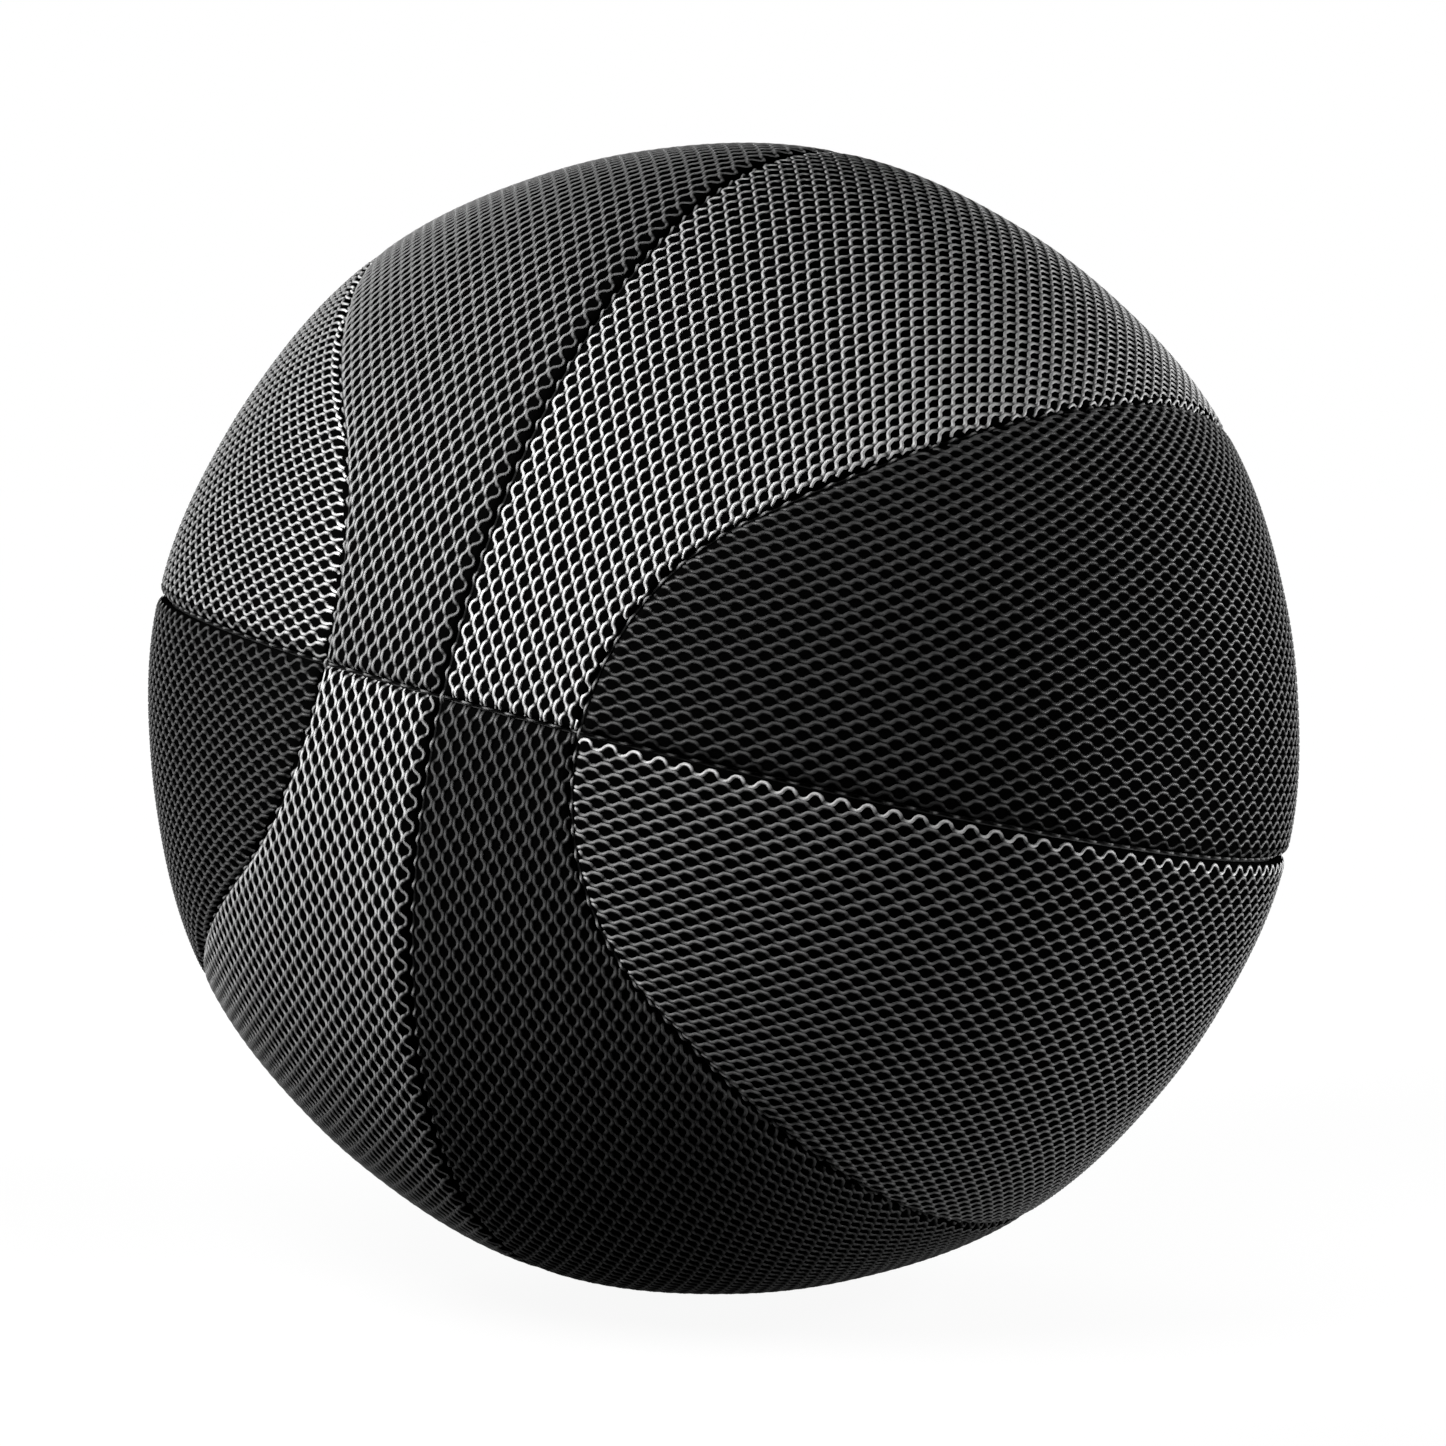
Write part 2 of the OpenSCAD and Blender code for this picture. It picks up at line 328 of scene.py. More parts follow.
def rubberMaterial(name, look):
    material, tree, shader = startMaterial(name, {"Specular IOR Level": look["gloss"]})
    group = put(tree, "ShaderNodeGroup", {"node_tree": rubberSkin}, {
        "Tone": look["tone"], "Dust": look["dust"], "Grain": look["grain"]})
    groupInto(tree, shader, group, rubber)
    return material


# The panels' surface, in the angle along a panel from its end on the crossing and the angle across it

def folded(along):
    return np.minimum(along, math.pi - along)


def stripReach(along):
    # how far a strip reaches from the meridian seam to the ear seam
    near = folded(along)
    side = math.cos(noseAxis) * np.cos(near)
    span = np.hypot(math.sin(noseAxis), side)
    nose = np.arctan2(math.sin(noseAxis), side) - np.arccos(np.clip(math.cos(noseRound) / span, -1, 1))
    return np.where(near < noseSide, nose, np.arctan(np.sin(near)))


def earReach(along):
    # how far an ear reaches from the equator to its seam
    near = folded(along)
    nose = np.arccos(np.clip(math.cos(noseRound) / np.cos(near - noseAxis), -1, 1))
    return np.where(near < noseSide, nose, np.arctan(np.sin(near)))


def onStrip(along, across):
    return np.stack([np.sin(across), -np.cos(across) * np.cos(along), np.cos(across) * np.sin(along)], -1)


def onEar(along, across):
    return onStrip(along, across)[..., ::-1]


def seamGaps(point):
    # distances to the meridian, equator and ear seams, over the surface
    x, y, z = (np.abs(point[..., i]) for i in range(3))
    plane = np.abs(np.arcsin(np.clip((x - z) / math.sqrt(2), -1, 1)))
    nose = np.abs(noseRound - np.arccos(np.clip(math.sin(noseAxis) * x + math.cos(noseAxis) * y, -1, 1)))
    atNose = math.cos(noseAxis) * x < math.sin(noseAxis) / 2 * y
    meridian, equator = np.arcsin(np.clip(x, 0, 1)), np.arcsin(np.clip(z, 0, 1))
    return meridian * ballRadius, equator * ballRadius, np.where(atNose, nose, plane) * ballRadius


# Spacing of a panel's grid, from its edges to its middle
panelGrid = {"fine": 0.35 * mm, "coarse": 2.6 * mm, "growth": 1.35, "earColumns": 150}


def easedSteps(span):
    # places from 0 to 1, close together at both ends of a span
    steps, size = [], panelGrid["fine"]
    while size < panelGrid["coarse"] and sum(steps) + size < span / 2:
        steps.append(size)
        size *= panelGrid["growth"]
    rest = span - 2 * sum(steps)
    middle = max(1, round(rest / panelGrid["coarse"]))
    steps = steps + [rest / middle] * middle + steps[::-1]
    return np.concatenate([[0], np.cumsum(steps)]) / sum(steps)


# How the cover stands proud beside its seams and dips into them
cover = {
    "seamRise": 0.42 * mm,  # panels stand this proud beside a seam
    "middleDrop": 0.92 * mm,  # and fall this much towards their middle
    "riseFrom": 4 * mm,
    "riseTo": 36 * mm,
    "grooveDepth": 1.7 * mm,
    "grooveWidth": 0.85 * mm,
    "groovePower": 1.6,  # steeper walls than a bell's
    "softness": 5 * mm,  # how gently the slopes from two seams meet
}


def swell(gaps):
    nearest = -cover["softness"] * np.log(sum(np.exp(-gap / cover["softness"]) for gap in gaps))
    share = np.clip((nearest - cover["riseFrom"]) / (cover["riseTo"] - cover["riseFrom"]), 0, 1)
    return cover["seamRise"] - cover["middleDrop"] * share * share * (3 - 2 * share)


def groove(gaps):
    nearest = np.minimum.reduce(gaps)
    return cover["grooveDepth"] * np.exp(-((nearest / cover["grooveWidth"]) ** cover["groovePower"]))


# The knit: wales run along a panel, and its cells are longest where it is stretched over the ball's side
knit = {
    "waleStep": 1.55 * mm,
    "cellLength": 4.66 * mm,
    "stretch": 0.24,  # more of both, halfway along a panel's straight edge
    "swing": 0.29,  # sideways, in wales
    "fullness": 1.5,  # how square the wave is
    "skew": 0.2,  # one side of a hole is longer than the other
    "lift": 0.08 * mm,  # at the wave's crests
    "pointsPerCell": 10,
    "wander": 0.10,  # in wales
    "wanderScale": 0.23,
    "knotFrom": 0.65,  # of a wave's cosine, where the painted shade starts
    "faintShadeDepth": 0.4,
    "mapWidth": 0.4,  # of a thread in the panel's map, in wales
}
# the wale beside a panel's straight seam, by the side of the ball that the panel is on
edges = {
    "strip_left": {"firstWale": 1.05, "edgeSwing": 0.6, "edgeShade": 0.6, "skewSide": -1, "shift": 0.0},
    "strip_right": {"firstWale": 1.35, "edgeSwing": 0.3, "edgeShade": 0.0, "skewSide": 1, "shift": 0.3},
    "ear_lower": {"firstWale": 1.05, "edgeSwing": 0.45, "edgeShade": 0.0, "skewSide": 1, "shift": 0.0},
    "ear_upper": {"firstWale": 0.85, "edgeSwing": 0.0, "edgeShade": 0.8, "skewSide": -1, "shift": 0.0},
}
# where in a wave its thread gets painted shade, where it meets its neighbours, strongly and faintly, in
# degrees
knots = {
    "strip_upper_right": (324, 108),
    "strip_upper_left": (252, 108),
    "strip_lower_right": (108, 288),
    "strip_lower_left": (252, 72),
    "ear_upper_right": (108, 288),
    "ear_upper_left": (288, 108),
    "ear_lower_right": (288, 108),
    "ear_lower_left": (108, 288),
}
waleCount = ballRadius * math.asinh(1) / (knit["waleStep"] * (1 + knit["stretch"]))
stretchRoot = math.sqrt(1 + knit["stretch"])
cellCount = ballRadius * math.pi / stretchRoot / knit["cellLength"]
cellPoints = round(cellCount * knit["pointsPerCell"])
cellCount = cellPoints / knit["pointsPerCell"]  # so that every cell has its points at the same places


def knitMap(along, across):
    # wales and cells at a place of the panel, both as shares of the most that a panel has
    width = knit["waleStep"] * (1 + knit["stretch"] * np.sin(along) ** 2)
    wales = ballRadius * np.arcsinh(np.tan(across)) / width
    cells = np.arctan2(stretchRoot * np.sin(along), np.cos(along)) / math.pi
    return wales / waleCount, cells


def panelMesh(name, kind, right, upper, depthAt, inset):
    # the panel's surface as a grid that follows its edges, depthAt under the ball's surface
    acrossSteps = easedSteps(ballRadius * math.pi / 4)
    edge = inset / ballRadius
    if kind == "strip":
        along = edge + (math.pi - 2 * edge) * easedSteps(ballRadius * math.pi)
        reach, place = stripReach, onStrip
    else:
        turn = np.linspace(0, math.pi, panelGrid["earColumns"] + 1)
        along = math.pi / 2 - (math.pi / 2 - noseTip - 2 * edge) * np.cos(turn)
        reach, place = earReach, onEar
    along, share = np.meshgrid(along, acrossSteps, indexing="ij")
    width = np.maximum(reach(along) - 2 * edge, 0)
    across = edge + width * share
    point = place(along, across)
    gaps = seamGaps(point)
    gaps = gaps if kind == "strip" else gaps[1:]
    radius = ballRadius + depthAt(gaps)
    side = np.array([1 if right else -1, 1, 1 if upper else -1])
    spots = (point * side * radius[..., None]).reshape(-1, 3) @ np.array(turned).T + np.array(ballMiddle)
    spots[:, 2] = np.maximum(spots[:, 2], 0)  # the flat that the ball rests on
    rows, columns = along.shape
    first = (np.arange(rows - 1)[:, None] * columns + np.arange(columns - 1)).ravel()
    faces = np.stack([first, first + columns, first + columns + 1, first + 1], -1)
    a, b, c = (spots[faces[len(faces) // 2, i]] for i in range(3))
    if np.cross(b - a, c - a) @ (a - np.array(ballMiddle)) < 0:
        faces = faces[:, ::-1]
    mesh = bpy.data.meshes.new(name)
    mesh.from_pydata(spots.tolist(), [], faces.tolist())
    wales, cells = (field.ravel() for field in knitMap(along, across))
    uv = mesh.uv_layers.new(name="knit")
    corners = faces.ravel()
    uv.data.foreach_set("uv", np.stack([wales[corners], cells[corners]], -1).ravel())
    seam = mesh.attributes.new("seamGap", "FLOAT", "POINT")
    seam.data.foreach_set("value", np.minimum.reduce(gaps).ravel())
    mesh.shade_smooth()
    return link(bpy.data.objects.new(name, mesh))


def makeNetTree():
    # wavy threads laid over a panel by its knit map, each wale against its neighbours
    tree, given, out = newTree("knittedNet", [
        ("Panel", "NodeSocketGeometry", None),
        ("Wales", "NodeSocketInt", 56),
        ("Points", "NodeSocketInt", 500),
        ("Wale Count", "NodeSocketFloat", 55.0),
        ("Cell Count", "NodeSocketFloat", 72.0),
        ("First Wale", "NodeSocketFloat", 0.7),
        ("Swing", "NodeSocketFloat", 0.3),
        ("Edge Swing", "NodeSocketFloat", 0.7),
        ("Edge Shade", "NodeSocketFloat", 0.0),
        ("Fullness", "NodeSocketFloat", 1.5),
        ("Skew", "NodeSocketFloat", 0.3),
        ("Shift", "NodeSocketFloat", 0.0),
        ("Edge Highlight", "NodeSocketFloat", 0.0),
        ("Hem Highlight", "NodeSocketFloat", 0.0),
        ("Hem Width", "NodeSocketFloat", 0.0013),
        ("Strong Shade Angle", "NodeSocketFloat", 0.0),
        ("Faint Shade Angle", "NodeSocketFloat", 0.0),
        ("Lift", "NodeSocketFloat", 0.0001),
        ("Wander", "NodeSocketFloat", 0.1),
        ("Trim", "NodeSocketFloat", 0.0004),
        ("Thread Width", "NodeSocketFloat", 0.0006),
        ("Thread Rise", "NodeSocketFloat", 0.00025),
        ("Thread Depth", "NodeSocketFloat", 0.0004),
        ("Ball Middle", "NodeSocketVector", (0, 0, 0)),
        ("Valve Axis", "NodeSocketVector", (0, 0, 1)),
        ("Valve Hole", "NodeSocketFloat", 0.0),
        ("Finish", "NodeSocketMaterial", None),
    ], [("Net", "NodeSocketGeometry")])
    grid = put(tree, "GeometryNodeMeshGrid", inputs={
        "Size X": 1.0, "Size Y": 1.0, "Vertices X": given["Points"], "Vertices Y": given["Wales"]})
    # keep only the edges along the wales
    ends = put(tree, "GeometryNodeInputMeshEdgeVertices").outputs
    step = split(tree, vectorCalc(tree, "SUBTRACT", ends["Position 1"], ends["Position 2"]))
    crossing = calc(tree, "GREATER_THAN", calc(tree, "ABSOLUTE", step[1]), 1e-6)
    lines = put(tree, "GeometryNodeDeleteGeometry", {"domain": "EDGE", "mode": "EDGE_FACE"},
                {"Geometry": grid.outputs["Mesh"], "Selection": crossing})
    spot = split(tree, here(tree))
    cellShare = calc(tree, "ADD", spot[0], 0.5)
    waleShare = calc(tree, "ADD", spot[1], 0.5)
    wale = calc(tree, "ROUND", calc(tree, "MULTIPLY", waleShare, calc(tree, "SUBTRACT", given["Wales"], 1)))
    # anti-phase wave: neighbours touch, part, and touch again
    cells = calc(tree, "MULTIPLY", cellShare, given["Cell Count"])
    phase = calc(tree, "MULTIPLY_ADD", calc(tree, "SUBTRACT", cells, given["Shift"]), 2 * math.pi,
                 calc(tree, "MULTIPLY", wale, math.pi))
    atEdge = calc(tree, "LESS_THAN", wale, 0.5)
    skew = calc(tree, "MULTIPLY", given["Skew"], calc(tree, "SUBTRACT", 1.0, atEdge))
    swing = calc(tree, "COSINE", calc(tree, "MULTIPLY_ADD", calc(tree, "SINE", phase), skew, phase))
    wave = calc(tree, "DIVIDE", calc(tree, "TANH", calc(tree, "MULTIPLY", swing, given["Fullness"])),
                calc(tree, "TANH", given["Fullness"]))
    amount = calc(tree, "MULTIPLY", given["Swing"],
                  calc(tree, "MULTIPLY_ADD", atEdge, given["Edge Swing"], 1.0))
    uneven = put(tree, "ShaderNodeTexNoise", {"noise_dimensions": "2D"}, {
        "Vector": joined(tree, wale, cells), "Scale": knit["wanderScale"], "Detail": 2.0})
    drift = calc(tree, "MULTIPLY", calc(tree, "SUBTRACT", uneven.outputs["Fac"], 0.5), given["Wander"])
    place = calc(tree, "MULTIPLY_ADD", wave, amount, calc(tree, "ADD", wale, given["First Wale"]))
    place = calc(tree, "DIVIDE", calc(tree, "ADD", place, drift), given["Wale Count"])
    mapSpot = joined(tree, place, cellShare)
    # find that place on the panel
    knitUv = recall(tree, "knit", "FLOAT_VECTOR")

    def onPanel(kind, value):
        return put(tree, "GeometryNodeSampleUVSurface", {"data_type": kind}, {
            "Mesh": given["Panel"], "Value": value, "UV Map": knitUv, "Sample UV": mapSpot}).outputs

    surface = onPanel("FLOAT_VECTOR", here(tree))
    seamGap = onPanel("FLOAT", recall(tree, "seamGap"))["Value"]
    fromMiddle = vectorCalc(tree, "SUBTRACT", surface["Value"], given["Ball Middle"])
    outward = vectorCalc(tree, "NORMALIZE", fromMiddle)
    fromValve = vectorCalc(tree, "LENGTH", vectorCalc(tree, "CROSS_PRODUCT", fromMiddle, given["Valve Axis"]))
    front = calc(tree, "GREATER_THAN", vectorCalc(tree, "DOT_PRODUCT", outward, given["Valve Axis"]), 0.0)
    inHole = calc(tree, "MULTIPLY", front, calc(tree, "LESS_THAN", fromValve, given["Valve Hole"]))
    off = calc(tree, "SUBTRACT", 1.0, surface["Is Valid"])
    off = calc(tree, "MAXIMUM", off, calc(tree, "LESS_THAN", seamGap, given["Trim"]))
    off = calc(tree, "MAXIMUM", off, inHole)
    rise = calc(tree, "MULTIPLY", calc(tree, "MULTIPLY", swing, swing), given["Lift"])
    lifted = vectorCalc(tree, "ADD", surface["Value"], scaled(tree, outward, rise))

    def shadeNear(angle, amount):
        near = calc(tree, "COSINE", calc(tree, "SUBTRACT", phase, angle))
        return eased(tree, near, knit["knotFrom"], 1.0, 0.0, amount)

    # painted shade where the thread meets its neighbour between two holes, stronger on one side than on the
    # other
    knot = calc(tree, "MAXIMUM", shadeNear(given["Strong Shade Angle"], 1.0),
                shadeNear(given["Faint Shade Angle"], knit["faintShadeDepth"]))
    # the first wale gets painted shade too, as much as its Edge Shade
    knot = calc(tree, "MAXIMUM", knot, calc(tree, "MULTIPLY", atEdge, given["Edge Shade"]))
    # painted highlight mask: the first wale and the thread ends within the hem width of a seam
    atHem = calc(tree, "LESS_THAN", seamGap, given["Hem Width"])
    highlightShare = calc(tree, "MAXIMUM", calc(tree, "MULTIPLY", atEdge, given["Edge Highlight"]),
                 calc(tree, "MULTIPLY", atHem, given["Hem Highlight"]))
    # remember the place and the outward direction before the points move
    stored = lines.outputs[0]
    for label, value, kind in (
            ("netOff", off, "FLOAT"), ("seamHighlight", highlightShare, "FLOAT"), ("knot", knot, "FLOAT"),
            ("netMap", mapSpot, "FLOAT_VECTOR"), ("netSpot", lifted, "FLOAT_VECTOR"),
            ("netOut", outward, "FLOAT_VECTOR")):
        stored = store(tree, stored, label, value, kind)
    moved = put(tree, "GeometryNodeSetPosition", inputs={
        "Geometry": stored, "Position": recall(tree, "netSpot", "FLOAT_VECTOR")})
    kept = put(tree, "GeometryNodeDeleteGeometry", {"domain": "POINT", "mode": "ALL"}, {
        "Geometry": moved.outputs[0], "Selection": calc(tree, "GREATER_THAN", recall(tree, "netOff"), 0.5)})
    curves = put(tree, "GeometryNodeMeshToCurve", inputs={0: kept.outputs[0]})
    facing = put(tree, "GeometryNodeSetCurveNormal", {"mode": "FREE"}, {
        "Curve": curves.outputs[0], "Normal": recall(tree, "netOut", "FLOAT_VECTOR")})
    lengthMm = calc(tree, "MULTIPLY", put(tree, "GeometryNodeSplineParameter").outputs["Length"], 1 / mm)
    measured = store(tree, facing.outputs[0], "netAlong", lengthMm)
    # a thread's section has three corners, smoothed by its shading
    ring = put(tree, "GeometryNodeCurvePrimitiveCircle", {"mode": "RADIUS"}, {"Resolution": 3, "Radius": 1.0})
    ringSpot = split(tree, here(tree))
    onTop = calc(tree, "GREATER_THAN", ringSpot[0], 0.0)
    height = calc(tree, "ADD", given["Thread Rise"], given["Thread Depth"])
    height = calc(tree, "SUBTRACT", calc(tree, "MULTIPLY", onTop, height), given["Thread Depth"])
    side = calc(tree, "MULTIPLY", calc(tree, "SIGN", ringSpot[1]), calc(tree, "SUBTRACT", 1.0, onTop))
    side = calc(tree, "MULTIPLY", side, calc(tree, "MULTIPLY", given["Thread Width"], 0.5))
    section = put(tree, "GeometryNodeSetPosition", inputs={
        "Geometry": ring.outputs[0], "Position": joined(tree, height, side)})
    sideShare = calc(tree, "DIVIDE", split(tree, here(tree))[1], given["Thread Width"])
    profile = store(tree, section.outputs[0], "netSide", sideShare)
    profile = store(tree, profile, "netAround", put(tree, "GeometryNodeSplineParameter").outputs["Factor"])
    threads = put(tree, "GeometryNodeCurveToMesh", inputs={
        "Curve": measured, "Profile Curve": profile, "Fill Caps": True})
    # maps for the finish: one over the panel, one along and round each thread
    panelSpot = split(tree, recall(tree, "netMap", "FLOAT_VECTOR"))
    sideways = calc(tree, "MULTIPLY", recall(tree, "netSide"), knit["mapWidth"])
    sideways = calc(tree, "DIVIDE", sideways, given["Wale Count"])
    panelUv = joined(tree, calc(tree, "ADD", panelSpot[0], sideways), panelSpot[1])
    strandUv = joined(tree, recall(tree, "netAlong"), recall(tree, "netAround"))
    done = store(tree, threads.outputs[0], "OFBake", panelUv, "FLOAT2", "CORNER")
    done = store(tree, done, "strand", strandUv, "FLOAT2", "CORNER")
    # nothing goes below the floor
    spot = split(tree, here(tree))
    stood = joined(tree, spot[0], spot[1], calc(tree, "MAXIMUM", spot[2], 0.0))
    done = put(tree, "GeometryNodeSetPosition", inputs={"Geometry": done, "Position": stood}).outputs[0]
    return closeTree(tree, done, given["Finish"], out)


# The mesh cover: two tones of thread that alternate like a checkerboard
yarnLooks = {
    "mesh_light": {"light": 0.74, "dark": 0.36, "gloss": 0.06, "rough": 0.3, "pitch": 0.5,
                   "width": 0.78 * mm},
    "mesh_dark": {"light": 0.15, "dark": 0.07, "gloss": 0.25, "rough": 0.25, "pitch": 0.5,
                  "width": 0.84 * mm},
}
# painted light and shade: each panel's thread tone is scaled for how the light falls on it
panelLightTones = {
    "strip_upper_left": 2.0,
    "strip_lower_left": 0.92,
    "strip_lower_right": 0.56,
    "ear_upper_left": 0.7,
    "ear_upper_right": 0.47,
    "ear_lower_left": 0.36,
    "ear_lower_right": 0.37,
}
# painted highlight: how much lighter the first wale and the cut ends beside a seam are made, where they catch
# the light
paintedSeamLight = {"ear_lower_right": (1.9, 0.8), "ear_upper_left": (0.0, 0.9), "strip_upper_right": (0.0, 0.3)}
thread = {"rise": 0.16 * mm, "depth": 0.1 * mm, "trim": 0.4 * mm, "hem": 1.3 * mm, "valveHole": 7.0 * mm}
lightPanels = {"strip_upper_right", "strip_lower_left", "ear_upper_left", "ear_lower_right"}
valvePanel = "strip_upper_left"
panels = [(kind, upper, right)
          for kind in ("strip", "ear") for upper in (True, False) for right in (True, False)]


def panelName(kind, upper, right):
    return "_".join([kind, "upper" if upper else "lower", "right" if right else "left"])


def netDepth(gaps):
    return swell(gaps) - groove(gaps) - thread["rise"]


netTree = makeNetTree()
for kind, upper, right in panels:
    node = panelName(kind, upper, right)
    slot = "mesh_light" if node in lightPanels else "mesh_dark"
    across = ("right" if right else "left") if kind == "strip" else ("upper" if upper else "lower")
    edge = edges[kind + "_" + across]
    edgeHighlight, hemHighlight = paintedSeamLight.get(node, (0.0, 0.0))
    knotAt, faintAngle = (math.radians(angle) for angle in knots[node])
    base = panelMesh("base_" + node, kind, right, upper, netDepth, 0.0)
    net = grow(base, netTree, {
        "Wales": math.ceil(waleCount) + 1,
        "Points": cellPoints + 1,
        "Wale Count": waleCount,
        "Cell Count": cellCount,
        "First Wale": edge["firstWale"],
        "Swing": knit["swing"],
        "Edge Swing": edge["edgeSwing"],
        "Edge Shade": edge["edgeShade"],
        "Fullness": knit["fullness"],
        "Skew": knit["skew"] * edge["skewSide"],
        "Shift": edge["shift"],
        "Edge Highlight": edgeHighlight,
        "Hem Highlight": hemHighlight,
        "Hem Width": thread["hem"],
        "Strong Shade Angle": knotAt,
        "Faint Shade Angle": faintAngle,
        "Lift": knit["lift"],
        "Wander": knit["wander"],
        "Trim": thread["trim"],
        "Thread Width": yarnLooks[slot]["width"],
        "Thread Rise": thread["rise"],
        "Thread Depth": thread["depth"],
        "Ball Middle": ballMiddle,
        "Valve Axis": valveAxis,
        "Valve Hole": thread["valveHole"] if node == valvePanel else 0.0,
        "Finish": fibreMaterial(node + "_yarn", yarnLooks[slot], panelLightTones.get(node, 1.0)),
    }, "net_" + node)
    bpy.data.objects.remove(base)
    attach(net, "root")
    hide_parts(node)
    print("net", node, len(net.data.polygons), "faces")

# Black cloth behind the mesh, one piece to each panel, stretched over the carcass; its near-zero tone also
# stands in for the shade deep in the holes (painted shade)
lining = {
    "under": 0.38 * mm,  # from the top of the threads to the face of the cloth
    "thickness": 1.6 * mm,  # soft, it fills the room between the mesh and the carcass
    "inset": 0.4 * mm,
    "valveHole": 4.3 * mm,
    "flatSize": {"strip": (0.0942, 0.377), "ear": (0.0942, 0.320)},  # cut before it is stretched, metres
    "flatArea": {"strip": 0.0226, "ear": 0.0206},
    "weld": 0.02 * mm,  # points this near are one
}
weaveLook = {"threads": (260, 980, 1), "low": 0.0008, "high": 0.003, "rough": 0.85, "roughSpread": -0.15,
             "bumpDepth": 0.08 * mm, "bumpStrength": 0.7}


def liningMaterial():
    material, tree, shader = startMaterial("backing_cloth_weave", {"Specular IOR Level": 0.0})
    cloth = put(tree, "ShaderNodeUVMap", {"uv_map": "knit"}).outputs["UV"]
    sized = put(tree, "ShaderNodeMapping", inputs={"Vector": cloth, "Scale": weaveLook["threads"]}).outputs[0]
    warp, weft = (put(tree, "ShaderNodeTexWave", {"bands_direction": way}, {"Vector": sized, "Scale": 1.0})
                  for way in ("X", "Y"))
    weave = calc(tree, "MULTIPLY", warp.outputs["Fac"], weft.outputs["Fac"])
    weaveInto(tree, shader, weave, grey(weaveLook["low"]), grey(weaveLook["high"]), weaveLook)
    return material


def liningDepth(gaps):
    return swell(gaps) - groove(gaps) - lining["under"]


clothMaterial = liningMaterial()
for kind, upper, right in panels:
    node = panelName(kind, upper, right)
    base = panelMesh("lining_base_" + node, kind, right, upper, liningDepth, lining["inset"])
    spots = np.zeros(len(base.data.vertices) * 3)
    base.data.vertices.foreach_get("co", spots)
    fromMiddle = spots.reshape(-1, 3) - np.array(ballMiddle)
    offAxis = np.linalg.norm(np.cross(fromMiddle, np.array(valveAxis)), axis=1)
    inHole = (offAxis < lining["valveHole"]) & (node == valvePanel)
    work = bmesh.new()
    work.from_mesh(base.data)
    work.verts.ensure_lookup_table()
    bmesh.ops.delete(work, geom=[work.verts[i] for i in np.flatnonzero(inHole)], context="VERTS")
    bmesh.ops.remove_doubles(work, verts=work.verts, dist=lining["weld"])
    work.to_mesh(base.data)
    work.free()
    solid = base.modifiers.new("thickness", "SOLIDIFY")
    solid.thickness = lining["thickness"]
    solid.offset = -1
    cloth = bpy.data.meshes.new_from_object(base.evaluated_get(bpy.context.evaluated_depsgraph_get()))
    bpy.data.objects.remove(base)
    piece = link(bpy.data.objects.new("lining_" + node, cloth))
    cloth.materials.append(clothMaterial)
    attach(piece, "root")
    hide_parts("backing_" + node)
    print("lining", node, len(cloth.polygons), "faces")

# Sewing: a running stitch along each seam
sewing = {
    "depth": 1.5 * mm,  # under the ball's surface
    "equatorDepth": 2.5 * mm,
    "rise": 0.85 * mm,  # where the thread comes up
    "radius": 0.26 * mm,
    "step": 4.66 * mm,
    "pointsPerStep": 10,
    "sides": 6,
    "shaded": (0.1, 0.6),  # of the rise, where the thread comes out of the dark
    "ringPoints": 360,
    "earPoints": 180,  # on each half of an ear's seam
    "look": {"light": 0.35, "dark": 0.012, "gloss": 0.1, "rough": 0.5, "pitch": 0.6},
}


